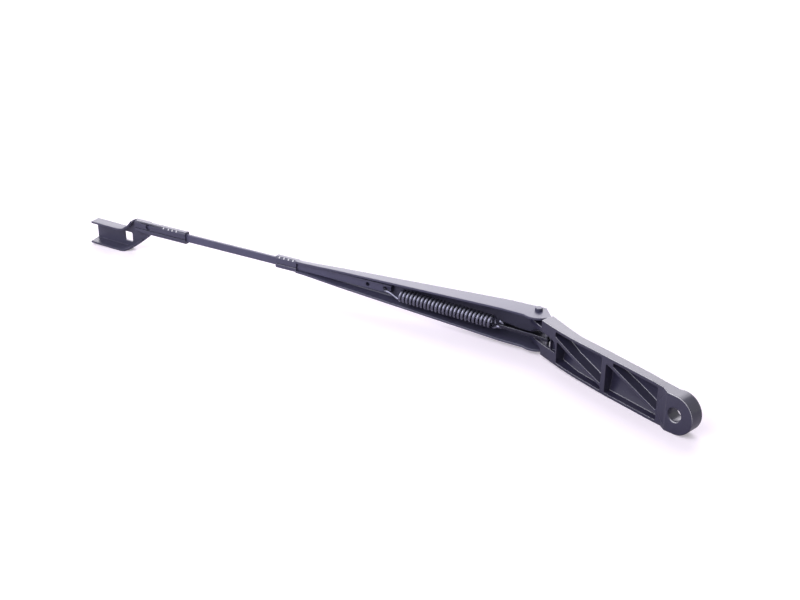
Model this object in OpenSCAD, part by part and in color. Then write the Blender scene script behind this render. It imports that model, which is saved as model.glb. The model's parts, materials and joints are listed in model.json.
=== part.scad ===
// Windscreen wiper arm: die-cast truss head, folding channel arm, tension spring, flat rod and blade bracket.
// Frame: origin on the spindle bore axis at the mouth of its straight wall; +X towards the blade,
// +Z away from the glass. Millimetres.

/* [Head] */
// boss outside diameter
boss_d = 29; // [28:0.5:31]
// boss height above the glass-side face
boss_h = 12.2; // [11.6:0.1:13]
// size of the rounding on the boss's outer edge
boss_edge = 1.4; // [1:0.1:1.6]
// spindle bore diameter
bore_d = 10.4; // [9:0.1:11]
// straight wall of the spindle bore
bore_len = 10.4; // [9.6:0.1:10.8]
// width of the chamfer at the bore mouth
bore_chamfer = 0.6; // [0.3:0.1:0.8]
// nut seat diameter on the outer side
nut_seat_d = 19; // [18:0.5:20]
// head half width at the truss
head_hw = 15.5; // [15:0.1:16]
// head half width at the shoulder
shoulder_hw = 14.4; // [14:0.1:14.8]
// side wall thickness of the truss
wall_t = 2.1; // [1.8:0.1:2.5]
// thickness of the outer skin behind the truss
skin_t = 2.2; // [1.8:0.1:2.6]
// crown radius of the outer skin
crown_r = 38; // [34:1:44]
// truss rib thickness
rib_t = 2.3; // [1.8:0.1:3]
// corner radius inside the truss bays
bay_r = 1.1; // [0.7:0.1:1.2]

/* [Hinge] */
// hinge axis, distance from the spindle
hinge_x = 146.8; // [146:0.1:148]
// hinge axis, height above the bore mouth
hinge_z = 29.4; // [29:0.1:29.8]
// rivet shank diameter
rivet_d = 5; // [4.6:0.1:5.4]
// rivet head diameter
rivet_head_d = 6; // [5.6:0.1:7]
// rivet head height
rivet_head_h = 2.4; // [1.5:0.1:3]
// running clearance of the rivets in their bushes, on radius
rivet_clear = 0.06; // [0.03:0.01:0.1]
// bush outside diameter
bush_d = 7.4; // [7:0.1:7.8]
// half width of the head's fork
fork_hw = 8.7; // [8.2:0.1:9]
// radius of the fork round the hinge
fork_r = 6.1; // [5.8:0.1:6.3]
// half width of the well in the fork where the hook link sits
slot_hw = 4.9; // [4.6:0.1:5.1]
// half width of the slit in the outer skin that lets the link swing out
slit_hw = 2.3; // [2:0.1:2.6]
// radial clearance between the ears and the head's shoulder
shoulder_clear = 0.5; // [0.4:0.1:0.8]

/* [Channel] */
// slope of the channel towards the glass at rest
arm_slope = 14.54; // [14:0.1:15]
// sheet thickness
sheet_t = 1.8; // [1.6:0.1:1.9]
// channel half width at the hinge
ear_hw = 14; // [13.8:0.1:14.2]
// ear radius round the hinge
ear_r = 13.5; // [13:0.1:13.8]
// height of the channel's back above the hinge axis
spine_z = 8.3; // [8.2:0.1:8.8]
// depth of the free edges below the hinge axis
edge_z = -11.9; // [-12.3:0.1:-11.5]
// outer bend radius of the sheet
bend_r = 3; // [2.4:0.1:3.4]
// distance from the hinge to the start of the crimp
crimp_x = 213.9; // [213:0.1:215]
// length of the crimp on the rod
crimp_len = 20.1; // [18:0.1:22]

/* [Rod] */
// rod width
rod_w = 6.9; // [6.5:0.1:7.2]
// rod thickness
rod_t = 2.6; // [2.4:0.1:2.8]
// distance from the hinge to the inner end of the rod
rod_in = 126; // [125.5:0.5:127]
// corner radius of the rod
rod_r = 0.6; // [0.3:0.1:0.9]
// diameter of the locating hole in the rod
rod_hole_d = 3.6; // [3:0.1:4]

/* [Spring] */
// wire diameter
wire_d = 2.5; // [2.3:0.1:2.6]
// outside diameter of the coils
coil_od = 11; // [10:0.2:11.4]
// number of turns
turns = 25; // [24:1:25]
// coil pitch
pitch = 3.3; // [3.2:0.05:3.35]

/* [Hook link] */
// pin axis, distance from the spindle
pin_x = 130.5; // [130:0.1:131]
// pin axis, height above the bore mouth
pin_z = 20.9; // [20.6:0.1:21.2]
// pin diameter
pin_d = 4; // [3.8:0.1:4.2]
// plate thickness of the link
link_t = 2.4; // [2:0.1:2.8]
// running clearance of the link on its pin, on radius
link_clear = 0.07; // [0.03:0.01:0.1]
// outside radius of the link's eye
eye_r = 3.8; // [3.6:0.1:4]

/* [Bracket] */
// sheet thickness of the bracket
br_t = 1.8; // [1.7:0.05:1.85]
// start of the bracket's crimp, along the rod from the channel's crimp end
br_gap = 92; // [89:1:95]
// length of the bracket's crimp
br_len = 54; // [52:0.5:56]
// sideways offset of the blade channel
br_offset = 14.4; // [13.8:0.1:15]
// outside width of the blade channel
br_w = 19.5; // [19:0.1:20]
// height of the upper flange
br_hu = 10; // [9:0.2:11]
// height of the lower flange
br_hl = 12.2; // [11:0.2:12.6]
// length of the blade channel beyond the crimp
br_out = 46; // [44:0.5:48]
// side of the square window
window_w = 8.8; // [8:0.1:9.4]

/* [Hidden] */
$fn = 96;
eps = 0.01;
boss_face = -bore_chamfer;
boss_top = boss_face + boss_h;
coil_r = (coil_od - wire_d) / 2;
wire_r = wire_d / 2;
stub_gap = 0.2;
ear_in = ear_hw - sheet_t;
well_x = pin_x - 7.3;
eye_in = pin_d / 2 + link_clear;
shoulder_r = ear_r + shoulder_clear;
rod_tilt = 2.51;
rod_ref_x = 95.9;
rod_ref_z = -4.7;
coil_x0 = 31.5;
coil_z0 = -10.8;
coil_z1 = -9.7;
coil_len = turns * pitch;
coil_x1 = coil_x0 + coil_len;
tie_x = 23.5;
tie_z = -11.4;
hook_r = 2.6;
rod_hook_r = 4.35;
rod_tie = rod_in + 5.5;
crimp_w = rod_w + 2 * sheet_t;
br_start = crimp_x + crimp_len - rod_ref_x + br_gap;
br_end = br_start + br_len;

// geometry helpers
function unit(v) = v / norm(v);
function corner(p, i, r) =
    let (n = len(p), a = unit(p[(i + n - 1) % n] - p[i]), b = unit(p[(i + 1) % n] - p[i]),
         h = acos(a * b) / 2)
    [p[i] + unit(a + b) * r / sin(h), p[i] + a * r / tan(h), p[i] + b * r / tan(h)];

// convex polygon with every corner rounded to the same radius
module rounded(p, r) {
    c = [for (i = [0:len(p) - 1]) corner(p, i, r)];
    polygon([for (k = c) each [k[1], k[2]]]);
    for (k = c) translate(k[0]) circle(r);
}

// corners of a rectangle about its middle
function block(w, h) = [[-w, -h], [w, -h], [w, h], [-w, h]] / 2;

// a plan outline raised along Z
module raise(z0, z1) {
    translate([0, 0, z0]) linear_extrude(z1 - z0) children();
}

// a side outline drawn in X and Z, given a half width along Y
module wide(hw) {
    rotate([90, 0, 0]) linear_extrude(2 * hw, center = true) children();
}

// cylinder along Y between two heights
module pin_y(r, y0, y1) {
    translate([0, y0, 0]) rotate([-90, 0, 0]) cylinder(r = r, h = y1 - y0);
}

// the hinge frame of the channel: X along the arm, Z away from the glass
module at_hinge() {
    translate([hinge_x, 0, hinge_z]) rotate([0, arm_slope, 0]) children();
}

// the rod frame: X along the rod, Z = 0 on the rod's glass-side face
module at_rod() {
    at_hinge() translate([rod_ref_x, 0, rod_ref_z]) rotate([0, rod_tilt, 0]) children();
}

// one of the two long barrels that crown the casting; they cross where the head turns up
module barrel(k, inset) {
    translate([k[0], 0, k[1]]) rotate([0, -k[2], 0]) translate([0, 0, -crown_r]) rotate([0, 90, 0])
        cylinder(r = crown_r - inset, h = 360, center = true, $fn = 180);
}

low_barrel = [13, 13.2, 5.86];
high_barrel = [99.5, 22.7, 16.17];

// glass-side profile of the casting, as X and Z: flat boss face, short ramp, truss rims
front = [[7, boss_face], [12.6, 2.7], [25, 3.8], [43, 5.5], [62, 7.1], [81, 9.1], [92, 10.3], [102, 11.7],
         [112, 13.4], [121, 15.3], [134, 18.3]];

module head_side() {
    polygon(concat([[-20, boss_face]], front, [[134, 60], [-20, 60]]));
}

module head_plan() {
    h = boss_d / 2;
    half = [[0, h], [12, h + 0.3], [24, head_hw], [71, head_hw], [121, shoulder_hw + 0.1], [140, shoulder_hw]];
    polygon(concat(half, [for (i = [len(half) - 1:-1:0]) [half[i][0], -half[i][1]]]));
    circle(h);
}

// outline of a convex polygon with rounded corners, each as a short chain of points
function bend(c, n) = [for (k = [0:n]) let (v = (c[1] - c[0]) * (n - k) / n + (c[2] - c[0]) * k / n)
    c[0] + unit(v) * norm(c[1] - c[0])];
function soft(p, r) = [for (i = [0:len(p) - 1]) each bend(corner(p, i, r), 3)];

// one pocket of the truss, open towards the glass, its floor following the crown
module pocket(p) {
    intersection() {
        raise(-5, 40) polygon(soft(p, bay_r));
        union() {
            barrel(low_barrel, skin_t);
            barrel(high_barrel, skin_t);
        }
    }
}

// the four pockets between the side walls, the upright and the two diagonals
module pockets() {
    w = head_hw - wall_t;
    v = shoulder_hw + 0.1 - wall_t;
    d = (rib_t - 2.3) / 2;
    pocket([[69.3, -8.1 + d], [117.5, 8.5 + d], [117.5, v], [69.3, w]]);
    pocket([[69.3, -w], [115.5, -v], [115.5, 5.4 - d], [69.3, -10.4 - d]]);
    pocket([[17.3, -5.6 + d], [58.5, 10.15 + d], [58.5, w], [17.3, w - 0.4]]);
    pocket([[17.3, -w + 0.4], [65.2, -w], [65.2, 10.2 - d], [17.3, -7.8 - d]]);
}

// fork that carries the hinge bushes and the hook pin
module fork_side() {
    a = 155;
    hinge = [hinge_x, hinge_z];
    polygon([[126, 16.5], [134, 18.3], [139.5, 19.8], hinge + fork_r * [cos(300), sin(300)], hinge,
             hinge + fork_r * [cos(a), sin(a)], [136.7, 22.8], [130, 24.4]]);
    translate(hinge) circle(fork_r);
}

// round boss, its outer edge turned over in three short facets
module boss() {
    r = boss_d / 2;
    e = boss_edge;
    rotate_extrude() polygon([[0, boss_face + 1], [r, boss_face + 1], [r, boss_top - e],
                              [r - 0.13 * e, boss_top - 0.5 * e], [r - 0.5 * e, boss_top - 0.13 * e],
                              [r - e, boss_top], [0, boss_top]]);
}

module arm_head() {
    color([0.16, 0.15, 0.18]) difference() {
        union() {
            difference() {
                intersection() {
                    wide(30) head_side();
                    raise(-2, 60) head_plan();
                    union() {
                        barrel(low_barrel, 0);
                        barrel(high_barrel, 0);
                    }
                }
                pockets();
                // shallow recess in the cross wall, beside the foot of the first diagonal
                raise(10, 18.2) polygon(soft([[116.9, -4.9], [122.3, -4.9], [122.3, 4.6], [118.8, 3.8],
                                              [116.9, 1]], 0.7));
                translate([hinge_x, 0, hinge_z]) pin_y(shoulder_r, -30, 30);
            }
            boss();
            wide(fork_hw) fork_side();
        }
        cylinder(d = bore_d, h = 40);
        translate([0, 0, boss_face - eps])
            cylinder(d1 = bore_d + 2 * bore_chamfer, d2 = bore_d, h = bore_chamfer + eps);
        translate([0, 0, bore_len]) cylinder(d = nut_seat_d, h = 40);
        // well for the hook link under the outer skin, slit through the skin, and the pin's bore
        intersection() {
            translate([well_x, -slot_hw, 5]) cube([60, 2 * slot_hw, 40]);
            union() {
                barrel(low_barrel, skin_t);
                barrel(high_barrel, skin_t);
            }
        }
        translate([pin_x - 2, -slit_hw, 10]) cube([60, 2 * slit_hw, 40]);
        translate([pin_x, 0, pin_z]) pin_y(pin_d / 2, -fork_hw - 1, fork_hw + 1);
        translate([hinge_x, 0, hinge_z]) pin_y(bush_d / 2, -20, 20);
    }
}

// two bushes pressed into the fork, each with a spacing collar towards its ear
module hinge_bush() {
    color([0.08, 0.08, 0.09]) translate([hinge_x, 0, hinge_z])
        for (s = [0, 180]) rotate([0, 0, s]) difference() {
            pin_y(bush_d / 2, slot_hw + 0.4, ear_in - stub_gap);
            pin_y(rivet_d / 2 + rivet_clear, 0, 20);
        }
}

// cross pin that takes the hook link's pull
module hook_pin() {
    color([0.5, 0.5, 0.52]) translate([pin_x, 0, pin_z]) pin_y(pin_d / 2, -fork_hw, fork_hw);
}

// two stub rivets, headed outside the ears, one pair of lengths for both sides
module hinge_rivet() {
    color([0.55, 0.55, 0.57]) translate([hinge_x, 0, hinge_z])
        for (s = [0, 180]) rotate([0, 0, s]) {
            pin_y(rivet_d / 2, slot_hw + 1, ear_hw + eps);
            translate([0, ear_hw, 0]) rotate([-90, 0, 0]) {
                cylinder(d = rivet_head_d, h = rivet_head_h - 0.5);
                translate([0, 0, rivet_head_h - 0.5 - eps])
                    cylinder(d1 = rivet_head_d, d2 = rivet_head_d - 1, h = 0.5);
            }
        }
}

// one bent-sheet cross section of the channel, listed round its outline
function u_section(x, w, z, t, r) =
    let (n = 6, ri = r - t, zb = edge_z - 3)
    concat([[x, -w, zb]],
        [for (k = [0:n]) let (a = 180 - 90 * k / n) [x, -w + r + r * cos(a), z - r + r * sin(a)]],
        [for (k = [0:n]) let (a = 90 - 90 * k / n) [x, w - r + r * cos(a), z - r + r * sin(a)]],
        [[x, w, zb], [x, w - t, zb]],
        [for (k = [0:n]) let (a = 90 * k / n) [x, w - r + ri * cos(a), z - r + ri * sin(a)]],
        [for (k = [0:n]) let (a = 90 + 90 * k / n) [x, -w + r + ri * cos(a), z - r + ri * sin(a)]],
        [[x, -w + t, zb]]);

// skin through a list of equal-length sections, with flat caps split from the middle of a bent strip
module skin(s) {
    n = len(s[0]);
    h = n / 2;
    side = [for (i = [0:len(s) - 2], j = [0:n - 1]) let (a = i * n + j, b = i * n + (j + 1) % n)
        each [[a, b, b + n], [a, b + n, a + n]]];
    cap0 = [for (j = [0:h - 2]) each [[j + 1, j, n - 1 - j], [j + 1, n - 1 - j, n - 2 - j]]];
    e = (len(s) - 1) * n;
    cap1 = [for (j = [0:h - 2])
        each [[e + j, e + j + 1, e + n - 1 - j], [e + j + 1, e + n - 2 - j, e + n - 1 - j]]];
    polyhedron(points = [for (k = s) each k], faces = concat(side, cap0, cap1), convexity = 6);
}

// height of the channel's back along the arm: a straight fall, then lying on the rod
spine_fall = 0.0672;
rod_gap = 0.03;
function rod_back(x) = rod_ref_z + rod_t - (x - rod_ref_x) * tan(rod_tilt);
function spine(x) = max(spine_z - spine_fall * (x - 1.3), rod_back(x) + sheet_t + rod_gap);
stations = [[-15, ear_hw], [26.3, ear_hw], [96.3, 11.14], [171.3, 7.48], [186, 6.58], [192, 6.22],
            [198, 5.88], [206.3, 5.4], [crimp_x + 0.4, crimp_w / 2]];

// closed box of sheet folded round the rod, with the seam on the glass side and stake marks at the
// distances given along its upper front bend
module crimp(x0, l, t, seam_y, marks) {
    w = rod_w + 2 * t;
    h = rod_t + 2 * t;
    translate([x0, 0, -t]) difference() {
        translate([0, 0, h / 2]) rotate([90, 0, 90]) linear_extrude(l)
            rounded(block(w, h), t);
        translate([-1, 0, t]) rod_bar(l + 2);
        translate([-1, seam_y, -1]) cube([l + 2, 0.5, t + 1.2]);
        for (k = marks) translate([k, w / 2 + 0.1, -0.1]) rotate([0, 90, 0]) cylinder(r = 1.3, h = 1.2);
    }
}

module rod_bar(l) {
    translate([0, 0, rod_t / 2]) rotate([90, 0, 90]) linear_extrude(l)
        rounded(block(rod_w, rod_t), rod_r);
}

// side outline of the channel: rounded ears that dip below the free edge, back cut short of the head
module channel_side() {
    polygon([[0, edge_z], [crimp_x + 0.4, edge_z], [crimp_x + 0.4, 20], [0, 20]]);
    intersection() {
        circle(ear_r);
        polygon([[-0.6, 9.6], [-13, -4.6], [-14, -14], [10, -14], [10, 9.6]]);
    }
}

module arm_channel() {
    color([0.17, 0.16, 0.19]) {
        at_hinge() difference() {
            intersection() {
                skin([for (k = stations)
                    u_section(k[0], k[1], spine(k[0]), sheet_t, min(bend_r, k[1] * 0.55))]);
                wide(20) channel_side();
            }
            pin_y(rivet_d / 2, -20, 20);
        }
        at_rod() crimp(crimp_x - rod_ref_x, crimp_len, sheet_t, -crimp_w / 2 + 4, [2.6, 7, 11.4, 15.8]);
    }
}

module arm_rod() {
    color([0.17, 0.16, 0.19]) at_rod() difference() {
        translate([rod_in - rod_ref_x, 0, 0]) rod_bar(br_end - 4 - rod_in + rod_ref_x);
        translate([rod_in + 21.3 - rod_ref_x, 0, -1]) cylinder(d = rod_hole_d, h = rod_t + 2);
        translate([rod_tie - rod_ref_x, 0, -1]) cylinder(d = wire_d + 1.1, h = rod_t + 2);
    }
}

// edges of the bracket's back plate beyond the rod, as X and Y in the rod frame
br_lean = 0.026;
br_tip = br_lean * (br_out - 10);
br_lo = -br_offset - br_w / 2;
br_hi = -br_offset + br_w / 2;
lower_edge = [[br_end - 6, -13.4], [br_end + 0.3, -18.4], [br_end + 6, -22.6], [br_end + 10, br_lo],
              [br_end + br_out, br_lo + br_tip]];
upper_edge = [[br_end + br_out, br_hi + br_tip], [br_end + 13.5, br_hi + 0.3], [br_end + 9, -1.4],
              [br_end + 5.5, 3.2]];

module bracket_plan() {
    w = rod_w / 2 + br_t;
    polygon(concat([[br_end - 14, -w], [br_end - 12, -8.4]], lower_edge, upper_edge,
                   [[br_end + 1, w], [br_end - 14, w]]));
}

// strip of sheet of one thickness inside a line of edges, mitred at its corners
function left(p, i) = let (d = unit(p[i + 1] - p[i])) [-d[1], d[0]];
function mitre(p, i) =
    let (a = left(p, max(i - 1, 0)), b = left(p, min(i, len(p) - 2)))
    p[i] + (a + b) * br_t / (1 + a * b);
module edge_strip(p) {
    polygon(concat(p, [for (i = [len(p) - 1:-1:0]) mitre(p, i)]));
}

// flanges on an edge of the plate, their free edge following a side outline
module flanges(p, rim) {
    intersection() {
        raise(-20, rod_t + br_t) edge_strip(p);
        wide(40) polygon(concat(rim, [[br_end + 60, 8], [br_end - 10, 8]]));
    }
}

module blade_bracket() {
    x = br_end;
    z = rod_t + br_t;
    color([0.17, 0.16, 0.19]) at_rod() difference() {
        union() {
            crimp(br_start, br_len, br_t, -rod_w / 2 - br_t + 4, [8.8, 13.2, 17.2, 22.4]);
            raise(rod_t, z) bracket_plan();
            flanges(lower_edge, [[x - 10, z - 3.4], [x - 5, z - 4.6], [x + 3, z - 6.4],
                                 [x + 12, z - br_hl], [x + 60, z - br_hl]]);
            flanges(upper_edge, [[x - 10, z - 3.6], [x + 5, z - 5], [x + 13.5, z - br_hu + 1.4],
                                 [x + 18, z - br_hu], [x + 60, z - br_hu]]);
        }
        // square window for the blade's clip
        translate([x + 11.5, 1 - br_offset, -5]) linear_extrude(20)
            rounded(block(window_w, window_w), 1.5);
        translate([br_end - 14.5, 2, -br_t - 1]) cylinder(d = 5, h = br_t + 1);
    }
}

// stamped plate that hooks on the pin and carries the spring
module hook_link() {
    pin = [(pin_x - hinge_x) * cos(arm_slope) - (pin_z - hinge_z) * sin(arm_slope),
           (pin_x - hinge_x) * sin(arm_slope) + (pin_z - hinge_z) * cos(arm_slope)];
    color([0.5, 0.5, 0.52]) at_hinge() wide(link_t / 2) difference() {
        union() {
            translate(pin) circle(eye_r);
            polygon([pin + [-0.5, -eye_r], [-4, -14.6], [4, -14.9], [12, -14.5], [tie_x, tie_z - 3],
                     [tie_x, tie_z + 3], [12, -10.6], [4, -11], [-4, -10.4], pin + [1, eye_r - 0.3]]);
            translate([tie_x, tie_z]) circle(3);
        }
        translate(pin) circle(eye_in);
        translate([tie_x, tie_z]) circle(d = wire_d + 1.1);
    }
}

// centre line of the spring wire: tail hook, coils, rod hook
function lerp(a, b, t) = a + (b - a) * t;
wire_path = concat(
    [for (k = [0:9]) let (a = -60 + 150 * k / 9)
        [tie_x + hook_r - hook_r * cos(a - 30), -hook_r * sin(a - 30), tie_z]],
    [for (k = [1:4]) let (t = k / 5)
        [lerp(tie_x + hook_r + 1.3, coil_x0, t), lerp(-hook_r * 0.87, -coil_r, t * t * (3 - 2 * t)),
         lerp(tie_z, coil_z0, t)]],
    [for (k = [0:turns * 14]) let (a = 360 * k / 14, t = k / (turns * 14))
        [coil_x0 + coil_len * t, -coil_r * cos(a), lerp(coil_z0, coil_z1, t) + coil_r * sin(a)]],
    [for (k = [1:4]) let (t = k / 5)
        [lerp(coil_x1, rod_tie - rod_hook_r, t), lerp(-coil_r, 0, t * t * (3 - 2 * t)), coil_z1]],
    [for (k = [0:6]) let (a = -90 + 90 * k / 6)
        [rod_tie - rod_hook_r + rod_hook_r * cos(a), 0, coil_z1 + rod_hook_r + rod_hook_r * sin(a)]],
    [[rod_tie, 0, rod_back(rod_tie) + 0.8]]);

// round wire swept along a list of points, carrying its frame along without twist
function turn(v, a, b) = let (c = cross(a, b), d = a * b) v + cross(c, v) + cross(c, cross(c, v)) / (1 + d);
function tangents(p) = [for (i = [0:len(p) - 1]) unit(p[min(i + 1, len(p) - 1)] - p[max(i - 1, 0)])];
function carry(t, v) =
    [for (i = 0, n = v; i < len(t); n = i + 1 < len(t) ? turn(n, t[i], t[i + 1]) : n, i = i + 1) n];

module wire(p, r, m) {
    t = tangents(p);
    n = carry(t, unit(cross(t[0], [0, 0, 1])));
    q = len(p);
    pts = concat([for (i = [0:q - 1], j = [0:m - 1]) let (a = 360 * j / m)
        p[i] + r * cos(a) * n[i] + r * sin(a) * cross(t[i], n[i])], [p[0], p[q - 1]]);
    polyhedron(points = pts, convexity = 10, faces = concat(
        [for (i = [0:q - 2], j = [0:m - 1]) let (a = i * m + j, b = i * m + (j + 1) % m)
            each [[a, b + m, b], [a, a + m, b + m]]],
        [for (j = [0:m - 1]) [q * m, j, (j + 1) % m]],
        [for (j = [0:m - 1]) let (e = (q - 1) * m) [q * m + 1, e + (j + 1) % m, e + j]]));
}

module tension_spring() {
    color([0.45, 0.45, 0.48]) at_hinge() wire(wire_path, wire_r, 8);
}

arm_head();
hinge_bush();
hook_pin();
arm_channel();
hinge_rivet();
arm_rod();
blade_bracket();
hook_link();
tension_spring();
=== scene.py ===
"""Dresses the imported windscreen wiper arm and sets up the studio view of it.

Everything is in metres in the part's frame: +X towards the blade, +Z away from the
glass, and the arm lies on its -Y side on a pale floor, as it does in the photograph.
"""

import json
import logging
import math
from dataclasses import dataclass
from enum import Enum

import bmesh
import bpy
from mathutils import Matrix, Vector

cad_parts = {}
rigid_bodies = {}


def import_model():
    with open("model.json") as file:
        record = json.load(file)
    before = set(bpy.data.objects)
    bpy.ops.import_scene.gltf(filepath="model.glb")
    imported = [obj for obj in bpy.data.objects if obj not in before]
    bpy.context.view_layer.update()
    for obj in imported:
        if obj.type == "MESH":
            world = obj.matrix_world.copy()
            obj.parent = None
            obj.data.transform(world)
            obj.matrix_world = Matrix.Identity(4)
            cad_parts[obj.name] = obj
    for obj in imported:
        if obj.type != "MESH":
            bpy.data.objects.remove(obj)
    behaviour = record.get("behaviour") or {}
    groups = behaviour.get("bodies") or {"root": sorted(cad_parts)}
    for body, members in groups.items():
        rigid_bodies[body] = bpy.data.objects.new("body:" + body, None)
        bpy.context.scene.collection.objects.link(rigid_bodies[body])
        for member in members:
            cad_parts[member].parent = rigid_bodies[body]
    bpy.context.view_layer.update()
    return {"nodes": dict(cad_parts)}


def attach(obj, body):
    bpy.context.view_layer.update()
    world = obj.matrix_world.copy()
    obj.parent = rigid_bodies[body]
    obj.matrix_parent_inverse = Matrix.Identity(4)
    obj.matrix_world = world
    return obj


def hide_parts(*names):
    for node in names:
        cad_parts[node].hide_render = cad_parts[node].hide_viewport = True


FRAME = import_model()

log = logging.getLogger("wiper_arm")

MM = 0.001
MERGE_DISTANCE = 0.004 * MM
FLAT_ANGLE = 0.6
# Face attribute with the strength of the painted highlight on each face.
HIGHLIGHT_ATTRIBUTE = "painted_highlight"


class Body(Enum):
    """The bodies that the arm's joints part it into."""

    HEAD = "head"
    ARM = "arm"
    SPRING_LINE = "spring_line"


class Slot(Enum):
    """The record's material slots."""

    HEAD_PAINT = "head_paint"
    BUSH = "bush"
    PIN_STEEL = "pin_steel"
    ARM_PAINT = "arm_paint"
    RIVET_PAINT = "rivet_paint"
    ROD_PAINT = "rod_paint"
    BRACKET_PAINT = "bracket_paint"
    LINK_STEEL = "link_steel"
    SPRING_STEEL = "spring_steel"


def clear_selection() -> None:
    """Leaves edit mode if it is on and deselects everything."""
    if bpy.context.mode != "OBJECT":
        bpy.ops.object.mode_set(mode="OBJECT")
    bpy.ops.object.select_all(action="DESELECT")


def make_active(obj: bpy.types.Object) -> None:
    """Selects one object alone and makes it the active one.

    Args:
        obj: The object to work on next.
    """
    clear_selection()
    obj.select_set(True)
    bpy.context.view_layer.objects.active = obj


def apply_modifiers(obj: bpy.types.Object) -> None:
    """Applies every modifier of an object, in order.

    Args:
        obj: The object whose modifiers become part of its mesh.
    """
    make_active(obj)
    for modifier in list(obj.modifiers):
        bpy.ops.object.modifier_apply(modifier=modifier.name)


def smooth_by_angle(obj: bpy.types.Object, degrees: float = 32.0) -> None:
    """Shades an object smooth apart from its sharp edges.

    Args:
        obj: The object to shade.
        degrees: Edges sharper than this stay sharp.
    """
    make_active(obj)
    bpy.ops.object.shade_smooth_by_angle(angle=math.radians(degrees))
    even = obj.modifiers.new("even_normals", "WEIGHTED_NORMAL")
    even.keep_sharp = True
    apply_modifiers(obj)


def socket(node: bpy.types.Node, name: str | int, value: object) -> None:
    """Sets the constant value of a node's input.

    Args:
        node: The shader node.
        name: The input's name or number.
        value: A number, or a colour or vector as a tuple.
    """
    node.inputs[name].default_value = value


def share_of(value: float, start: float, span: float) -> float:
    """How far a value is on its way through a span, from 0 to 1.

    Args:
        value: The value.
        start: Where the span starts.
        span: How long it is.

    Returns:
        The share, held between 0 and 1.
    """
    return min(max((value - start) / span, 0.0), 1.0)


@dataclass(frozen=True)
class Colour:
    """A linear colour."""

    red: float
    green: float
    blue: float

    def rgba(self) -> tuple[float, float, float, float]:
        """The colour with full opacity."""
        return (self.red, self.green, self.blue, 1.0)

    def scaled(self, factor: float) -> "Colour":
        """The same hue, lighter or darker.

        Args:
            factor: What each channel is multiplied by.

        Returns:
            The new colour.
        """
        return Colour(self.red * factor, self.green * factor, self.blue * factor)


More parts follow.
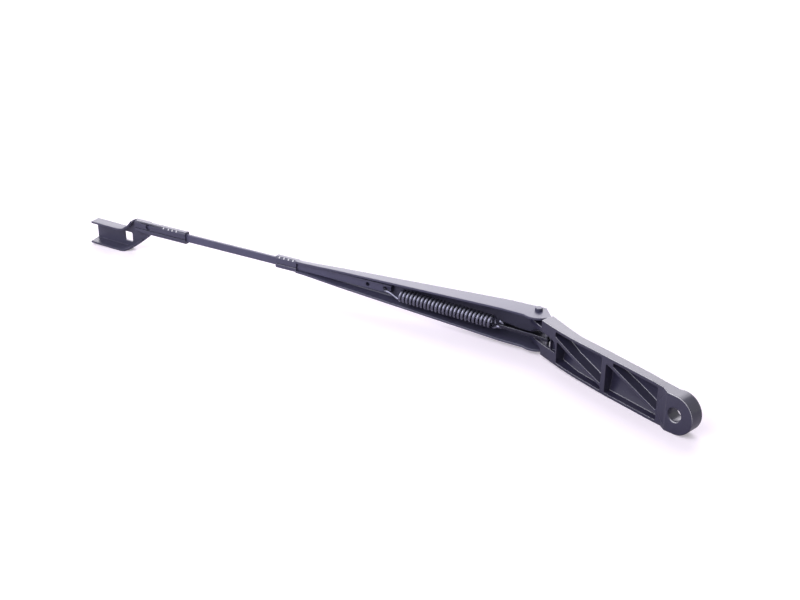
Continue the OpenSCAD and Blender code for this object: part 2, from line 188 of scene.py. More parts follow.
class EffectGroups:
    """Shader node groups that several finishes share.

    Attributes:
        GLINT_WINDOWS: Axis of the normal, where the painted glint starts on it and where it is
            full.
    """

    GLINT_WINDOWS = (("Y", 0.56, 0.70), ("Z", -0.22, -0.40))

    def __init__(self) -> None:
        """Builds each group once."""
        self.grain = self._grain()
        self.soft_edge = self._soft_edge()
        self.dust = self._dust()

    @staticmethod
    def _tree(name: str, inputs: dict[str, float], outputs: list[str]) -> bpy.types.NodeTree:
        """Makes an empty group with float inputs and outputs.

        Args:
            name: The group's name.
            inputs: Each input's name and its value.
            outputs: The names of the outputs.

        Returns:
            The new node tree, with its input and output nodes in place.
        """
        tree = bpy.data.node_groups.new(name, "ShaderNodeTree")
        for label, value in inputs.items():
            new = tree.interface.new_socket(label, in_out="INPUT", socket_type="NodeSocketFloat")
            new.default_value = value
        for label in outputs:
            tree.interface.new_socket(label, in_out="OUTPUT", socket_type="NodeSocketFloat")
        tree.nodes.new("NodeGroupInput").name = "in"
        tree.nodes.new("NodeGroupOutput").name = "out"
        return tree

    def _grain(self) -> bpy.types.NodeTree:
        """Fine relief of a sprayed or cast skin, with a slow unevenness under it."""
        tree = self._tree("grain", {"Fine scale": 2600.0, "Slow scale": 90.0, "Slow share": 0.5},
                          ["Height", "Mask"])
        nodes, links = tree.nodes, tree.links
        place = nodes.new("ShaderNodeTexCoord")
        fine = nodes.new("ShaderNodeTexNoise")
        slow = nodes.new("ShaderNodeTexNoise")
        socket(fine, "Detail", 3.0)
        socket(slow, "Detail", 2.0)
        links.new(place.outputs["Object"], fine.inputs["Vector"])
        links.new(place.outputs["Object"], slow.inputs["Vector"])
        links.new(nodes["in"].outputs["Fine scale"], fine.inputs["Scale"])
        links.new(nodes["in"].outputs["Slow scale"], slow.inputs["Scale"])
        mixed = nodes.new("ShaderNodeMix")
        links.new(nodes["in"].outputs["Slow share"], mixed.inputs["Factor"])
        links.new(fine.outputs["Fac"], mixed.inputs["A"])
        links.new(slow.outputs["Fac"], mixed.inputs["B"])
        links.new(mixed.outputs["Result"], nodes["out"].inputs["Height"])
        links.new(slow.outputs["Fac"], nodes["out"].inputs["Mask"])
        return tree

    def _soft_edge(self) -> bpy.types.NodeTree:
        """Rounded normal at the edges, and a mask of them for a lighter colour: painted sheen
        along the edges, with paint rubbed thin.
        """
        tree = self._tree("soft_edge", {"Radius": 0.5 * MM, "Low": 0.02, "High": 0.16,
                                        "Breakup scale": 420.0}, ["Mask"])
        tree.interface.new_socket("Glint", in_out="OUTPUT", socket_type="NodeSocketFloat")
        tree.interface.new_socket("Normal", in_out="OUTPUT", socket_type="NodeSocketVector")
        nodes, links = tree.nodes, tree.links
        rounded = nodes.new("ShaderNodeBevel")
        rounded.samples = 6
        plain = nodes.new("ShaderNodeNewGeometry")
        place = nodes.new("ShaderNodeTexCoord")
        turned = nodes.new("ShaderNodeVectorMath")
        turned.operation = "DOT_PRODUCT"
        links.new(nodes["in"].outputs["Radius"], rounded.inputs["Radius"])
        links.new(rounded.outputs["Normal"], turned.inputs[0])
        links.new(plain.outputs["Normal"], turned.inputs[1])
        away = nodes.new("ShaderNodeMath")
        away.operation = "SUBTRACT"
        socket(away, 0, 1.0)
        links.new(turned.outputs["Value"], away.inputs[1])
        span = nodes.new("ShaderNodeMapRange")
        links.new(away.outputs["Value"], span.inputs["Value"])
        links.new(nodes["in"].outputs["Low"], span.inputs["From Min"])
        links.new(nodes["in"].outputs["High"], span.inputs["From Max"])
        patchy = nodes.new("ShaderNodeTexNoise")
        socket(patchy, "Detail", 4.0)
        links.new(place.outputs["Object"], patchy.inputs["Vector"])
        links.new(nodes["in"].outputs["Breakup scale"], patchy.inputs["Scale"])
        broken = nodes.new("ShaderNodeMath")
        broken.operation = "MULTIPLY"
        links.new(span.outputs["Result"], broken.inputs[0])
        links.new(patchy.outputs["Fac"], broken.inputs[1])
        links.new(broken.outputs["Value"], nodes["out"].inputs["Mask"])
        links.new(rounded.outputs["Normal"], nodes["out"].inputs["Normal"])
        self._glint(tree, rounded.outputs["Normal"])
        return tree

    def _glint(self, tree: bpy.types.NodeTree, normal: bpy.types.NodeSocket) -> None:
        """Adds the mask of the painted highlight on the edges that look up and towards the glass.

        Args:
            tree: The group being built, with a Glint output.
            normal: The rounded normal in world space.
        """
        nodes, links = tree.nodes, tree.links
        own = nodes.new("ShaderNodeVectorTransform")
        own.vector_type = "NORMAL"
        own.convert_from = "WORLD"
        own.convert_to = "OBJECT"
        links.new(normal, own.inputs["Vector"])
        parts = nodes.new("ShaderNodeSeparateXYZ")
        links.new(own.outputs["Vector"], parts.inputs["Vector"])
        both = nodes.new("ShaderNodeMath")
        both.operation = "MULTIPLY"
        for number, (axis, near, far) in enumerate(self.GLINT_WINDOWS):
            span = nodes.new("ShaderNodeMapRange")
            socket(span, "From Min", near)
            socket(span, "From Max", far)
            links.new(parts.outputs[axis], span.inputs["Value"])
            links.new(span.outputs["Result"], both.inputs[number])
        links.new(both.outputs["Value"], nodes["out"].inputs["Glint"])

    def _dust(self) -> bpy.types.NodeTree:
        """Sparse light specks, as of dust and tiny nibs in the paint."""
        tree = self._tree("dust", {"Scale": 1300.0, "Cut": 0.64}, ["Mask"])
        nodes, links = tree.nodes, tree.links
        place = nodes.new("ShaderNodeTexCoord")
        specks = nodes.new("ShaderNodeTexNoise")
        socket(specks, "Detail", 2.0)
        links.new(place.outputs["Object"], specks.inputs["Vector"])
        links.new(nodes["in"].outputs["Scale"], specks.inputs["Scale"])
        cut = nodes.new("ShaderNodeMapRange")
        socket(cut, "From Max", 0.8)
        links.new(specks.outputs["Fac"], cut.inputs["Value"])
        links.new(nodes["in"].outputs["Cut"], cut.inputs["From Min"])
        links.new(cut.outputs["Result"], nodes["out"].inputs["Mask"])
        return tree


@dataclass(frozen=True)
class Finish:
    """What every finish of the arm has in common.

    Attributes:
        name: The material's name.
        slot: The slot that it dresses.
        colour: The main colour.
        lighter: Colour of the lighter edges (painted sheen, with paint rubbed thin) and of the
            specks.
        roughness: Middle value of the roughness.
        spread: How far the roughness varies each way.
        relief: Depth of the fine relief, in metres.
        fine_scale: Scale of the fine relief.
        slow_share: How much of the relief is slow unevenness.
        edge_share: Strength of the lighter edges, painted sheen with paint rubbed thin.
        speck_share: Strength of the light specks.
        edge_radius: Radius of the soft edges, in metres.
        glint_share: Strength of the painted highlight on the upper edges.
    """

    name: str
    slot: Slot
    colour: Colour
    lighter: Colour
    roughness: float
    spread: float = 0.05
    relief: float = 0.02 * MM
    fine_scale: float = 2600.0
    slow_share: float = 0.4
    edge_share: float = 0.35
    speck_share: float = 0.25
    edge_radius: float = 0.5 * MM
    glint_share: float = 0.0

    def constants(self, shader: bpy.types.Node) -> None:
        """Sets the shader's own constant values; each kind of finish has its own."""
        raise NotImplementedError

    def build(self, groups: EffectGroups) -> bpy.types.Material:
        """Makes the node material.

        Args:
            groups: The shared effect groups.

        Returns:
            The material.
        """
        material = bpy.data.materials.new(self.name)
        material.use_nodes = True
        nodes, links = material.node_tree.nodes, material.node_tree.links
        shader = nodes["Principled BSDF"]
        self.constants(shader)
        grain = nodes.new("ShaderNodeGroup")
        grain.node_tree = groups.grain
        socket(grain, "Fine scale", self.fine_scale)
        socket(grain, "Slow share", self.slow_share)
        edge = nodes.new("ShaderNodeGroup")
        edge.node_tree = groups.soft_edge
        socket(edge, "Radius", self.edge_radius)
        dust = nodes.new("ShaderNodeGroup")
        dust.node_tree = groups.dust

        tone = nodes.new("ShaderNodeMix")
        tone.data_type = "RGBA"
        socket(tone, "A", self.colour.scaled(1.0 - TONE_SPREAD).rgba())
        socket(tone, "B", self.colour.scaled(1.0 + TONE_SPREAD).rgba())
        links.new(grain.outputs["Mask"], tone.inputs["Factor"])
        # Lighter edges: painted sheen along the edges, with paint rubbed thin.
        sheen_and_wear = self._over(material, tone.outputs["Result"], edge.outputs["Mask"], self.edge_share)
        specked = self._over(material, sheen_and_wear, dust.outputs["Mask"], self.speck_share)
        # Painted highlight on the edges that look up and towards the glass.
        painted_highlight = self._over(material, specked, edge.outputs["Glint"], self.glint_share, PALE_HIGHLIGHT_AND_SPECK)
        # Painted highlight on the faces that each piece marks: head edges, stakes, channel rim.
        marks = nodes.new("ShaderNodeAttribute")
        marks.attribute_name = HIGHLIGHT_ATTRIBUTE
        marked = self._over(material, painted_highlight, marks.outputs["Fac"], 1.0, PALE_HIGHLIGHT_AND_SPECK)
        links.new(marked, shader.inputs["Base Color"])

        rough = nodes.new("ShaderNodeMapRange")
        socket(rough, "From Min", 0.3)
        socket(rough, "From Max", 0.7)
        socket(rough, "To Min", self.roughness - self.spread)
        socket(rough, "To Max", self.roughness + self.spread)
        links.new(grain.outputs["Height"], rough.inputs["Value"])
        links.new(rough.outputs["Result"], shader.inputs["Roughness"])

        bump = nodes.new("ShaderNodeBump")
        socket(bump, "Distance", self.relief)
        links.new(grain.outputs["Height"], bump.inputs["Height"])
        links.new(edge.outputs["Normal"], bump.inputs["Normal"])
        links.new(bump.outputs["Normal"], shader.inputs["Normal"])
        return material

    def _over(self, material: bpy.types.Material, base: bpy.types.NodeSocket,
              mask: bpy.types.NodeSocket, share: float,
              colour: Colour | None = None) -> bpy.types.NodeSocket:
        """Lays a colour over another where a mask says so.

        Args:
            material: The material being built.
            base: The colour below.
            mask: Where the upper colour shows.
            share: How strongly it shows.
            colour: The upper colour; the finish's lighter one if none is given.

        Returns:
            The mixed colour.
        """
        nodes, links = material.node_tree.nodes, material.node_tree.links
        part = nodes.new("ShaderNodeMath")
        part.operation = "MULTIPLY"
        socket(part, 1, share)
        links.new(mask, part.inputs[0])
        mixed = nodes.new("ShaderNodeMix")
        mixed.data_type = "RGBA"
        socket(mixed, "B", (colour or self.lighter).rgba())
        links.new(part.outputs["Value"], mixed.inputs["Factor"])
        links.new(base, mixed.inputs["A"])
        return mixed.outputs["Result"]


@dataclass(frozen=True)
class PaintFinish(Finish):
    """Satin black paint over steel or over the casting."""

    coat: float = 0.1
    coat_roughness: float = 0.2

    def constants(self, shader: bpy.types.Node) -> None:
        """Sets the constants of a paint with a smoother top coat."""
        socket(shader, "IOR", 1.43)
        socket(shader, "Coat Weight", self.coat)
        socket(shader, "Coat Roughness", self.coat_roughness)


@dataclass(frozen=True)
class SteelFinish(Finish):
    """Bare or plated steel."""

    metallic: float = 1.0

    def constants(self, shader: bpy.types.Node) -> None:
        """Sets the constants of a metal."""
        socket(shader, "Metallic", self.metallic)


@dataclass(frozen=True)
class MouldedFinish(Finish):
    """Dark moulded plastic of the bushes."""

    def constants(self, shader: bpy.types.Node) -> None:
        """Sets the constants of a moulded plastic."""
        socket(shader, "IOR", 1.46)


BLACK = Colour(0.043, 0.042, 0.072)
CAST_BLACK = Colour(0.031, 0.029, 0.058)
# Lighter colour of the black parts' edges, painted sheen with rubbed paint, and of their specks.
BLACK_EDGE = Colour(0.15, 0.145, 0.20)
PIN_STEEL = Colour(0.24, 0.24, 0.27)
SPRING_STEEL = Colour(0.17, 0.17, 0.225)
PHOSPHATE = Colour(0.055, 0.055, 0.075)
# Pale colour of the painted highlights, and of the steel parts' lighter edges and specks.
PALE_HIGHLIGHT_AND_SPECK = Colour(0.75, 0.75, 0.78)
TONE_SPREAD = 0.14

FINISHES = (
    # The head's upper front edges carry a strong painted highlight.
    PaintFinish("cast_black_paint", Slot.HEAD_PAINT, CAST_BLACK, BLACK_EDGE, 0.34,
                relief=0.035 * MM, fine_scale=1900.0, speck_share=0.35, coat=0.35,
                edge_radius=0.8 * MM, glint_share=0.7),
    PaintFinish("channel_black_paint", Slot.ARM_PAINT, BLACK.scaled(1.45), BLACK_EDGE, 0.33),
    PaintFinish("rod_black_paint", Slot.ROD_PAINT, BLACK.scaled(1.7), BLACK_EDGE, 0.34),
    PaintFinish("bracket_black_paint", Slot.BRACKET_PAINT, BLACK.scaled(1.2), BLACK_EDGE, 0.33),
    MouldedFinish("bush_plastic", Slot.BUSH, Colour(0.03, 0.03, 0.035), BLACK_EDGE, 0.5),
    # The steel parts' edges take the pale colour: painted sheen on the pin, a painted highlight
    # on the link.
    SteelFinish("pin_steel", Slot.PIN_STEEL, PIN_STEEL, PALE_HIGHLIGHT_AND_SPECK, 0.35),
    PaintFinish("rivet_black_paint", Slot.RIVET_PAINT, BLACK.scaled(1.45), BLACK_EDGE, 0.31),
    SteelFinish("link_phosphate", Slot.LINK_STEEL, PHOSPHATE, PALE_HIGHLIGHT_AND_SPECK, 0.36,
                relief=0.03 * MM, edge_share=0.6, edge_radius=0.35 * MM),
    SteelFinish("spring_wire", Slot.SPRING_STEEL, SPRING_STEEL, PALE_HIGHLIGHT_AND_SPECK, 0.14,
                edge_share=0.0, metallic=0.8),
)


@dataclass(frozen=True)
class EdgeRoom:
    """Tells whether an edge has room for its radius among the edges round it.

    Attributes:
        width: Width of the radius, in metres.
        between: Widths that two rounded edges need between them.
        beside: Widths that a rounded edge needs beside a plain one.
        half: Share of an edge that one corner may take.
        whole: Share of a plain edge that a corner may take.
    """

    width: float
    between: float = 2.1
    beside: float = 1.1
    half: float = 0.49
    whole: float = 0.95

    def tight(self, edge: bmesh.types.BMEdge, chosen: set[bmesh.types.BMEdge]) -> bool:
        """Whether the radius would run over a neighbour.

        Args:
            edge: The edge to round.
            chosen: All the edges to round.

        Returns:
            True when there is too little room.
        """
        middle = (edge.verts[0].co + edge.verts[1].co) / 2
        for face in edge.link_faces:
            for other in face.edges:
                if other is edge:
                    continue
                shared = [vert for vert in edge.verts if vert in other.verts]
                room = self.width * (self.between if other in chosen else self.beside)
                if shared:
                    if self._corner_tight(edge, other, shared[0], other in chosen):
                        return True
                elif self._apart(middle, other) < room:
                    return True
        return False

    def _corner_tight(self, edge: bmesh.types.BMEdge, other: bmesh.types.BMEdge,
                      vert: bmesh.types.BMVert, rounded: bool) -> bool:
        """Whether the offset lines of a corner meet too far along its edges.

        Args:
            edge: The edge to round.
            other: The other edge of the corner.
            vert: The vertex that they share.
            rounded: Whether the other edge is rounded too.

        Returns:
            True when they meet too far along.
        """
        along = edge.other_vert(vert).co - vert.co
        beside = other.other_vert(vert).co - vert.co
        angle = along.angle(beside)
        if rounded:
            reach = self.width / max(math.tan(angle / 2), 1e-4)
            return reach > self.half * min(along.length, beside.length)
        return self.width / max(math.sin(angle), 1e-4) > self.whole * beside.length

    @staticmethod
    def _apart(place: Vector, other: bmesh.types.BMEdge) -> float:
        """Distance from a place to an edge.

        Args:
            place: The place.
            other: The edge.

        Returns:
            The shortest distance.
        """
        start, end = other.verts[0].co, other.verts[1].co
        line = end - start
        share = share_of((place - start).dot(line), 0.0, line.length_squared)
        return (start + line * share - place).length


@dataclass
class Piece:
    """A piece that stands for one CAD node, with its own finer mesh.

    Attributes:
        node: The CAD node that it stands for.
        finish: The slot of its finish.
        edge_width: Width of the rounding on its edges, in metres.
        edge_steps: Segments of that rounding.
        edge_angle: Edges sharper than this, in degrees, are rounded.
        edge_least: Edges shorter than this, in metres, are left alone.
        follow_angle: Edges sharper than this carry a rounded line on.
        straight_angle: Edges that meet at more than this, in degrees, are one line.
    """

    node: str
    finish: Slot
    edge_width: float = 0.3 * MM
    edge_steps: int = 2
    edge_angle: float = 34.0
    edge_least: float = 0.12 * MM
    follow_angle: float = 12.0
    straight_angle: float = 152.0

    def copy_solid(self) -> bpy.types.Object:
        """Copies the CAD node's mesh, merged into closed faces.

        Returns:
            The new object, at the origin.
        """
        source = FRAME["nodes"][self.node]
        mesh = source.data.copy()
        mesh.name = self.node + "_fine"
        mesh.materials.clear()
        obj = bpy.data.objects.new(self.node + "_fine", mesh)
        bpy.context.scene.collection.objects.link(obj)
        make_active(obj)
        if mesh.has_custom_normals:
            bpy.ops.mesh.customdata_custom_splitnormals_clear()
        bpy.ops.object.mode_set(mode="EDIT")
        bpy.ops.mesh.select_all(action="SELECT")
        bpy.ops.mesh.remove_doubles(threshold=MERGE_DISTANCE)
        bpy.ops.mesh.dissolve_limited(angle_limit=math.radians(FLAT_ANGLE))
        bpy.ops.object.mode_set(mode="OBJECT")
        return obj

    def mark_edges(self, obj: bpy.types.Object) -> None:
        """Marks the edges that get a radius: the sharp ones with room for it.

        Args:
            obj: The piece.
        """
        work = bmesh.new()
        work.from_mesh(obj.data)
        weight = work.edges.layers.float.new("bevel_weight_edge")
        chosen = {edge for edge in work.edges if self.wanted(edge, self.edge_angle)}
        self.follow(chosen)
        room = EdgeRoom(self.edge_width)
        while True:
            tight = {edge for edge in chosen if room.tight(edge, chosen)}
            if not tight:
                break
            chosen -= tight
        for edge in work.edges:
            edge[weight] = 1.0 if edge in chosen else 0.0
        log.info("%s: %d edges rounded", self.node, len(chosen))
        work.to_mesh(obj.data)
        work.free()

    def wanted(self, edge: bmesh.types.BMEdge, degrees: float) -> bool:
        """Whether an edge turns by more than an angle and isn't too short to round.

        Args:
            edge: The edge.
            degrees: The angle.

        Returns:
            True for an edge that may be rounded.
        """
        if len(edge.link_faces) != 2 or edge.calc_length() < self.edge_least:
            return False
        return edge.calc_face_angle(0.0) > math.radians(degrees)

    def follow(self, chosen: set[bmesh.types.BMEdge]) -> None:
        """Adds the softer edges that carry a chosen line straight on, to its natural end.

        Args:
            chosen: The chosen edges, which grow.
        """
        front = list(chosen)
        while front:
            edge = front.pop()
            for vert in edge.verts:
                along = edge.other_vert(vert).co - vert.co
                for other in vert.link_edges:
                    if other in chosen or not self.wanted(other, self.follow_angle):
                        continue
                    turn = along.angle(other.other_vert(vert).co - vert.co)
                    if turn > math.radians(self.straight_angle):
                        chosen.add(other)
                        front.append(other)

    def round_edges(self, obj: bpy.types.Object) -> None:
        """Gives the marked edges of a piece a small radius.

        Args:
            obj: The piece.
        """
        self.mark_edges(obj)
        bevel = obj.modifiers.new("edges", "BEVEL")
        bevel.width = self.edge_width
        bevel.segments = self.edge_steps
        bevel.limit_method = "WEIGHT"
        bevel.use_clamp_overlap = False
        bevel.miter_outer = "MITER_ARC"
        apply_modifiers(obj)

    def model(self) -> bpy.types.Object:
        """Builds the mesh of the piece. A sub-assembly with a form of its own changes this."""
        obj = self.copy_solid()
        self.round_edges(obj)
        return obj

    def painted_highlight(self, place: Vector, normal: Vector) -> float:
        """How strong the painted highlight is on a face. A piece with highlighted edges or stakes
        changes this.

        Args:
            place: Middle of the face, in metres.
            normal: The face's normal.

        Returns:
            0 for none, 1 for the full pale highlight.
        """
        return 0.0

    def mark_painted_highlight(self, obj: bpy.types.Object) -> None:
        """Stores on each face how strong its painted highlight is, for the finish to read.

        Args:
            obj: The piece.
        """
        shares = [self.painted_highlight(face.center, face.normal) for face in obj.data.polygons]
        if any(shares):
            layer = obj.data.attributes.new(HIGHLIGHT_ATTRIBUTE, "FLOAT", "FACE")
            for item, share in zip(layer.data, shares):
                item.value = share

    def dress(self, body: Body, materials: dict[Slot, bpy.types.Material]) -> bpy.types.Object:
        """Models the piece, finishes it and puts it on its body.

        Args:
            body: The body that it rides on.
            materials: The materials by slot.

        Returns:
            The finished object.
        """
        obj = self.model()
        self.mark_painted_highlight(obj)
        smooth_by_angle(obj)
        obj.data.materials.clear()
        obj.data.materials.append(materials[self.finish])
        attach(obj, body.value)
        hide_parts(self.node)
        log.info("%s: %d faces on %s", obj.name, len(obj.data.polygons), body.value)
        return obj


@dataclass
class HeadCasting(Piece):
    """The cast head, with a painted highlight on its front edge round the boss and along the
    upper wall.

    Lengths are in millimetres.

    Attributes:
        boss_rim: How far from the spindle's axis the boss's rounding starts.
        boss_end: X at which the truss takes over from the boss.
        wall: How far out the truss's upper wall starts.
        front: Least and greatest Z of the normal on the front rounding.
        highlight_side: Direction, in X and Y, in which the boss's painted highlight is strongest.
        boss_highlight: Strength of the painted highlight on the boss's edge there.
        wall_highlight: Strength of the painted highlight on the wall's edge.
    """

    boss_rim: float = 13.6
    boss_end: float = 9.0
    wall: float = 9.0
    front: tuple[float, float] = (-0.95, -0.3)
    highlight_side: tuple[float, float] = (-0.5, 0.87)
    boss_highlight: float = 0.8
    wall_highlight: float = 0.3

    def painted_highlight(self, place: Vector, normal: Vector) -> float:
        """How strong the painted highlight is on the rounding between the front face and the
        outside.

        Args:
            place: Middle of the face, in metres.
            normal: The face's normal.

        Returns:
            0 for none, 1 for the full pale highlight.
        """
        least, greatest = self.front
        if not least < normal.z < greatest:
            return 0.0
        x, y, _ = place / MM
        if math.hypot(x, y) > self.boss_rim and x < self.boss_end:
            outward = Vector(normal.xy).normalized()
            return self.boss_highlight * share_of(outward.dot(Vector(self.highlight_side)), 0.3, 0.4)
        if x > self.boss_end and y > self.wall and normal.y > 0.3:
            return self.wall_highlight
        return 0.0


@dataclass(frozen=True)
class LocalFrame:
    """A frame of the arm at rest, in millimetres, turned about Y.

    Attributes:
        origin: Its origin in its parent frame.
        slope: How far X leans towards the glass, in degrees.
        parent: The frame that it is placed in; the part's frame if there is none.
    """

    origin: tuple[float, float, float]
    slope: float
    parent: "LocalFrame | None" = None

    def matrix(self) -> Matrix:
        """Placement of the frame in the part, in metres."""
        turn = Matrix.Rotation(math.radians(self.slope), 4, "Y")
        own = Matrix.Translation(Vector(self.origin) * MM) @ turn
        return self.parent.matrix() @ own if self.parent else own

    def inside(self, place: Vector) -> Vector:
        """A place of the part as seen in the frame.

        Args:
            place: The place, in metres.

        Returns:
            The place in the frame, in millimetres.
        """
        return self.matrix().inverted() @ place / MM


HINGE_FRAME = LocalFrame((146.8, 0.0, 29.4), 14.54)
ROD_FRAME = LocalFrame((95.9, 0.0, -4.7), 2.51, HINGE_FRAME)


@dataclass
class CrimpedPressing(Piece):
    """A pressing folded round the rod and staked along the upper corner of the fold.

    Lengths are in millimetres.

    Attributes:
        fold_start: Where the fold starts along the rod frame.
        stakes: Where each stake starts, from there.
        stake_axis: Y and Z of the stakes' axis in the rod frame.
        stake_radius: Their radius.
        stake_length: Their length.
        stake_margin: How far beyond them the painted highlight reaches.
    """

    fold_start: float = 0.0
    stakes: tuple[float, ...] = ()
    stake_axis: tuple[float, float] = (5.35, -1.9)
    stake_radius: float = 1.3
    stake_length: float = 1.2
    stake_margin: float = 0.08

    def painted_highlight(self, place: Vector, normal: Vector) -> float:
        """Whether a face is in a stake, which gets a painted highlight.

        Args:
            place: Middle of the face, in metres.
            normal: The face's normal.

        Returns:
            1 in a stake, 0 elsewhere.
        """
        x, y, z = ROD_FRAME.inside(place)
        away = math.hypot(y - self.stake_axis[0], z - self.stake_axis[1])
        if away > self.stake_radius + self.stake_margin:
            return 0.0
        reach = x - self.fold_start
        end = self.stake_length + self.stake_margin
        struck = any(-self.stake_margin <= reach - start <= end for start in self.stakes)
        return 1.0 if struck else 0.0


@dataclass
class Channel(CrimpedPressing):
    """The arm's channel, with a painted highlight on the inner corner of its lower free edge.

    Attributes:
        rim: Z, in the hinge frame, below which a face is at the free edge.
        rim_highlight: Strength of the painted highlight on the corner.
    """

    rim: float = -10.9
    rim_highlight: float = 0.14

    def painted_highlight(self, place: Vector, normal: Vector) -> float:
        """How strong the painted highlight on a face is: the stakes, and the inner corner of the
        lower free edge.

        Args:
            place: Middle of the face, in metres.
            normal: The face's normal.

        Returns:
            0 for none, 1 for the full pale highlight.
        """
        _, y, z = HINGE_FRAME.inside(place)
        if y < 0.0 and z < self.rim and normal.y > 0.35 and normal.z < -0.3:
            return self.rim_highlight
        return super().painted_highlight(place, normal)


@dataclass
class TensionSpring(Piece):
    """Close-wound spring with a hook at each end, swept as one round wire.

    Lengths are in millimetres in the hinge frame.

    Attributes:
        wire: Thickness of the wire.
        coil_radius: Radius of the coils at the wire's middle.
        turns: Number of coils.
        pitch: Distance from coil to coil.
        start: X and Z of the coils' axis at their start.
        end_z: Z of the axis at their end.
        tie: X and Z of the link's hole.
        link_hook: Radius of the hook in the link.
        rod_tie: X of the rod's hole.
        rod_hook: Radius of the hook in the rod.
        hook_top: Z of the rod hook's tip.
        per_turn: Points of each coil.
        ease_steps: Steps of the run from each hook to the coils.
        link_steps: Steps of the link hook.
        rod_steps: Steps of the rod hook.
    """

    wire: float = 2.5
    coil_radius: float = 4.25
    turns: int = 25
    pitch: float = 3.3
    start: tuple[float, float] = (31.5, -10.8)
    end_z: float = -9.7
    tie: tuple[float, float] = (23.5, -11.4)
    link_hook: float = 2.6
    rod_tie: float = 131.5
    rod_hook: float = 4.35
    hook_top: float = -2.86
    per_turn: int = 28
    ease_steps: int = 9
    link_steps: int = 18
    rod_steps: int = 12

    def route(self) -> list[tuple[float, float, float]]:
        """Centre line of the wire: link hook, coils, rod hook.

        Returns:
            Points in the hinge frame.
        """
        return self._link_end() + self._coils() + self._rod_end()

    def _link_end(self) -> list[tuple[float, float, float]]:
        """Points of the hook in the link and of the run from it to the coils."""
        points: list[tuple[float, float, float]] = []
        tie_x, tie_z = self.tie
        start_x, start_z = self.start
        for k in range(self.link_steps + 1):
            a = math.radians(-90 + 150 * k / self.link_steps)
            points.append((tie_x + self.link_hook - self.link_hook * math.cos(a),
                           -self.link_hook * math.sin(a), tie_z))
        for k in range(1, self.ease_steps):
            t = k / self.ease_steps
            points.append((self._mix(tie_x + self.link_hook * 1.5, start_x, t),
                           self._mix(-self.link_hook * 0.87, -self.coil_radius, self._ease(t)),
                           self._mix(tie_z, start_z, t)))
        return points

    def _coils(self) -> list[tuple[float, float, float]]:
        """Points of the coils."""
        points: list[tuple[float, float, float]] = []
        start_x, start_z = self.start
        steps = self.turns * self.per_turn
        for k in range(steps + 1):
            a = 2 * math.pi * k / self.per_turn
            t = k / steps
            points.append((start_x + self.turns * self.pitch * t, -self.coil_radius * math.cos(a),
                           self._mix(start_z, self.end_z, t) + self.coil_radius * math.sin(a)))
        return points

    def _rod_end(self) -> list[tuple[float, float, float]]:
        """Points of the run from the coils to the rod and of the hook there."""
        points: list[tuple[float, float, float]] = []
        coil_end = self.start[0] + self.turns * self.pitch
        bend = self.rod_tie - self.rod_hook
        for k in range(1, self.ease_steps):
            t = k / self.ease_steps
            points.append((self._mix(coil_end, bend, t),
                           self._mix(-self.coil_radius, 0.0, self._ease(t)), self.end_z))
        for k in range(self.rod_steps + 1):
            a = math.radians(-90 + 90 * k / self.rod_steps)
            points.append((bend + self.rod_hook * math.cos(a), 0.0,
                           self.end_z + self.rod_hook + self.rod_hook * math.sin(a)))
        points.append((self.rod_tie, 0.0, self.hook_top))
        return points

    @staticmethod
    def _mix(a: float, b: float, t: float) -> float:
        """The value a share t of the way from a to b."""
        return a + (b - a) * t

    @staticmethod
    def _ease(t: float) -> float:
        """A share that starts and ends slowly."""
        return t * t * (3 - 2 * t)

    def model(self) -> bpy.types.Object:
        """Sweeps the wire along its route and turns it into a mesh.

        Returns:
            The new object, at the origin.
        """
        name = self.node + "_fine"
        curve = bpy.data.curves.new(name, "CURVE")
        curve.dimensions = "3D"
        points = self.route()
        spline = curve.splines.new("POLY")
        spline.points.add(len(points) - 1)
        place = HINGE_FRAME.matrix()
        for point, at in zip(spline.points, points):
            point.co = (*(place @ (Vector(at) * MM)), 1.0)
        curve.bevel_depth = self.wire / 2 * MM
        curve.bevel_resolution = 5
        curve.use_fill_caps = True
        obj = bpy.data.objects.new(name, curve)
        bpy.context.scene.collection.objects.link(obj)
        make_active(obj)
        bpy.ops.object.convert(target="MESH")
        return bpy.context.view_layer.objects.active


@dataclass(frozen=True)
class SoftBox:
    """A soft box that faces the arm.

    Attributes:
        name: The lamp's name.
        towards: Direction from the arm to the lamp.
        distance: How far away it is, in metres.
        size: Its width and height, in metres.
        radiance: How bright its face is, where 1 is white.
        colour: Its tint.
    """

    name: str
    towards: tuple[float, float, float]
    distance: float
    size: tuple[float, float]
    radiance: float
    colour: tuple[float, float, float]

    def hang(self, centre: tuple[float, float, float]) -> None:
        """Hangs the lamp.

        Args:
            centre: The place that it faces, in metres.
        """
        data = bpy.data.lights.new(self.name, "AREA")
        data.shape = "RECTANGLE"
        data.size, data.size_y = self.size
        data.energy = self.radiance * math.pi * self.size[0] * self.size[1]
        data.color = self.colour
        obj = bpy.data.objects.new(self.name, data)
        away = Vector(self.towards).normalized()
        obj.location = Vector(centre) + away * self.distance
        obj.rotation_euler = away.to_track_quat("Z", "Y").to_euler()
        obj.visible_camera = False
        bpy.context.scene.collection.objects.link(obj)


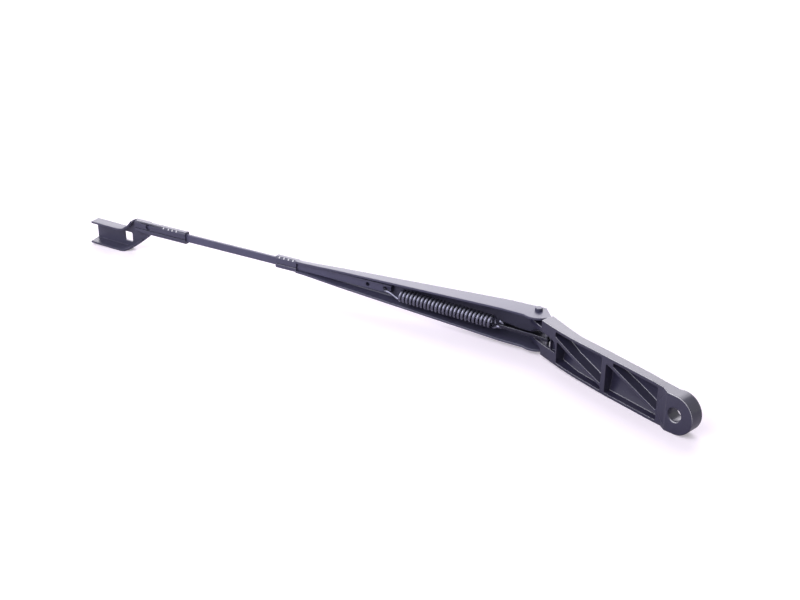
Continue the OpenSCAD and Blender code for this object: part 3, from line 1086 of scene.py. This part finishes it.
@dataclass
class Studio:
    """Floor, background, lamps and camera.

    The camera's place and axes were fitted to the photograph.

    Attributes:
        eye: The camera's place, in millimetres.
        right: Its direction to the right.
        up: Its upward direction.
        lens: Its focal length on a sensor 36 mm wide.
        centre: Middle of the arm, in metres.
        floor_start: X and Y of the floor's line under the head, in millimetres.
        floor_end: X and Y of that line under the bracket.
        floor_size: Side of the floor, in metres.
        paper_seen: The floor's colour for the camera.
        paper_lit: The floor's colour for the light that it throws back.
        lift: How much the floor is lifted towards white for the camera.
        lift_tint: The tint of that lift.
        ambient: Level of the world for all but the camera and reflections.
    """

    eye: tuple[float, float, float] = (-450.46, 480.66, -688.56)
    right: tuple[float, float, float] = (-0.6905, 0.0078, 0.7233)
    up: tuple[float, float, float] = (0.3256, 0.8963, 0.3011)
    lens: float = 62.85
    centre: tuple[float, float, float] = (0.26, -0.005, -0.02)
    floor_start: tuple[float, float] = (45.0, -15.6)
    floor_end: tuple[float, float] = (530.0, -24.3)
    floor_size: float = 9.0
    paper_seen: Colour = Colour(0.84, 0.78, 0.855)
    paper_lit: Colour = Colour(0.60, 0.57, 0.63)
    lift: float = 0.31
    lift_tint: Colour = Colour(1.0, 0.95, 1.0)
    ambient: float = 0.35

    def camera(self) -> None:
        """Makes the camera with the photograph's view."""
        data = bpy.data.cameras.new("camera")
        data.sensor_fit = "HORIZONTAL"
        data.sensor_width = 36.0
        data.lens = self.lens
        data.clip_start = 0.01
        data.clip_end = 50.0
        obj = bpy.data.objects.new("camera", data)
        right = Vector(self.right).normalized()
        up = (Vector(self.up) - right * right.dot(Vector(self.up))).normalized()
        turn = Matrix((right, up, right.cross(up))).transposed().to_4x4()
        obj.matrix_world = Matrix.Translation(Vector(self.eye) * MM) @ turn
        bpy.context.scene.collection.objects.link(obj)
        bpy.context.scene.camera = obj

    def floor(self) -> None:
        """Lays the pale floor that the arm's lower side rests on; it shows from above only."""
        x0, y0 = self.floor_start
        x1, y1 = self.floor_end
        lean = Matrix.Rotation(math.atan2(y1 - y0, x1 - x0), 4, "Z")
        clear_selection()
        bpy.ops.mesh.primitive_plane_add(size=1.0)
        obj = bpy.context.view_layer.objects.active
        obj.name = "floor"
        obj.data.transform(Matrix.Scale(self.floor_size, 4)
                           @ Matrix.Rotation(math.radians(-90), 4, "X"))
        obj.data.transform(Matrix.Translation((x0 * MM, y0 * MM, 0)) @ lean)
        obj.data.materials.append(self._floor_paper())

    def _floor_paper(self) -> bpy.types.Material:
        """White paper, clear from behind, that shows as white apart from the shadow.

        Returns:
            The floor's material.
        """
        material = bpy.data.materials.new("white_paper")
        material.use_nodes = True
        nodes, links = material.node_tree.nodes, material.node_tree.links
        shader = nodes["Principled BSDF"]
        tone = nodes.new("ShaderNodeMix")
        tone.data_type = "RGBA"
        socket(tone, "A", self.paper_lit.rgba())
        socket(tone, "B", self.paper_seen.rgba())
        links.new(tone.outputs["Result"], shader.inputs["Base Color"])
        socket(shader, "Roughness", 0.9)
        socket(shader, "Specular IOR Level", 0.1)
        path = nodes.new("ShaderNodeLightPath")
        lift = nodes.new("ShaderNodeMath")
        lift.operation = "MULTIPLY"
        socket(lift, 1, self.lift)
        links.new(path.outputs["Is Camera Ray"], lift.inputs[0])
        links.new(path.outputs["Is Camera Ray"], tone.inputs["Factor"])
        glow = nodes.new("ShaderNodeEmission")
        socket(glow, "Color", self.lift_tint.rgba())
        links.new(lift.outputs["Value"], glow.inputs["Strength"])
        both = nodes.new("ShaderNodeAddShader")
        links.new(shader.outputs["BSDF"], both.inputs[0])
        links.new(glow.outputs["Emission"], both.inputs[1])
        clear = nodes.new("ShaderNodeBsdfTransparent")
        facing = nodes.new("ShaderNodeNewGeometry")
        sided = nodes.new("ShaderNodeMixShader")
        links.new(facing.outputs["Backfacing"], sided.inputs["Fac"])
        links.new(both.outputs["Shader"], sided.inputs[1])
        links.new(clear.outputs["BSDF"], sided.inputs[2])
        links.new(sided.outputs["Shader"], nodes["Material Output"].inputs["Surface"])
        return material

    def world(self) -> None:
        """White surroundings for the camera and for reflections, a plain level for the rest."""
        world = bpy.data.worlds.new("studio")
        world.use_nodes = True
        bpy.context.scene.world = world
        nodes, links = world.node_tree.nodes, world.node_tree.links
        background = nodes["Background"]
        socket(background, "Color", (1.0, 1.0, 1.0, 1.0))
        path = nodes.new("ShaderNodeLightPath")
        seen = nodes.new("ShaderNodeMath")
        seen.operation = "MAXIMUM"
        links.new(path.outputs["Is Camera Ray"], seen.inputs[0])
        links.new(path.outputs["Is Glossy Ray"], seen.inputs[1])
        level = nodes.new("ShaderNodeMapRange")
        socket(level, "To Min", self.ambient)
        socket(level, "To Max", 1.0)
        links.new(seen.outputs["Value"], level.inputs["Value"])
        links.new(level.outputs["Result"], background.inputs["Strength"])

    def build(self) -> None:
        """Sets up the whole studio."""
        self.camera()
        self.floor()
        self.world()
        for lamp in LAMPS:
            lamp.hang(self.centre)
        bpy.context.scene.view_settings.view_transform = "Standard"


LAMPS = (
    SoftBox("top_box", (0.58, 0.46, 0.67), 1.7, (2.5, 1.5), 3.5, (1.0, 0.965, 1.05)),
    SoftBox("overhead_box", (0.25, 0.80, -0.55), 1.5, (1.3, 0.7), 2.0, (1.0, 0.98, 1.03)),
    SoftBox("front_box", (0.05, 0.55, -0.83), 1.6, (1.5, 1.2), 2.8, (0.98, 0.97, 1.08)),
)


@dataclass
class SubAssembly:
    """The pieces that move with one body.

    Attributes:
        body: The body.
        pieces: Its pieces, in the order in which they are built.
    """

    body: Body
    pieces: tuple[Piece, ...]

    def build(self, materials: dict[Slot, bpy.types.Material]) -> None:
        """Models and dresses the pieces in order.

        Args:
            materials: The materials by slot.
        """
        for piece in self.pieces:
            piece.dress(self.body, materials)


WIPER_ARM = (
    SubAssembly(Body.HEAD, (
        HeadCasting("arm_head", Slot.HEAD_PAINT, edge_width=0.42 * MM, edge_steps=3),
        Piece("hinge_bush", Slot.BUSH, edge_width=0.2 * MM),
        Piece("hook_pin", Slot.PIN_STEEL),
    )),
    SubAssembly(Body.ARM, (
        Channel("arm_channel", Slot.ARM_PAINT, edge_width=0.35 * MM, fold_start=118.0,
                stakes=(2.6, 7.0, 11.4, 15.8)),
        Piece("hinge_rivet", Slot.RIVET_PAINT, edge_width=0.25 * MM),
        Piece("arm_rod", Slot.ROD_PAINT),
        CrimpedPressing("blade_bracket", Slot.BRACKET_PAINT, edge_width=0.35 * MM,
                        fold_start=230.1, stakes=(8.8, 13.2, 17.2, 22.4)),
    )),
    SubAssembly(Body.SPRING_LINE, (
        Piece("hook_link", Slot.LINK_STEEL),
        TensionSpring("tension_spring", Slot.SPRING_STEEL),
    )),
)


def main() -> None:
    """Builds the studio and every sub-assembly, in order."""
    logging.basicConfig(level=logging.INFO, format="%(name)s: %(message)s")
    clear_selection()
    Studio().build()
    groups = EffectGroups()
    materials = {finish.slot: finish.build(groups) for finish in FINISHES}
    for part in WIPER_ARM:
        part.build(materials)


if __name__ == "__main__":
    main()
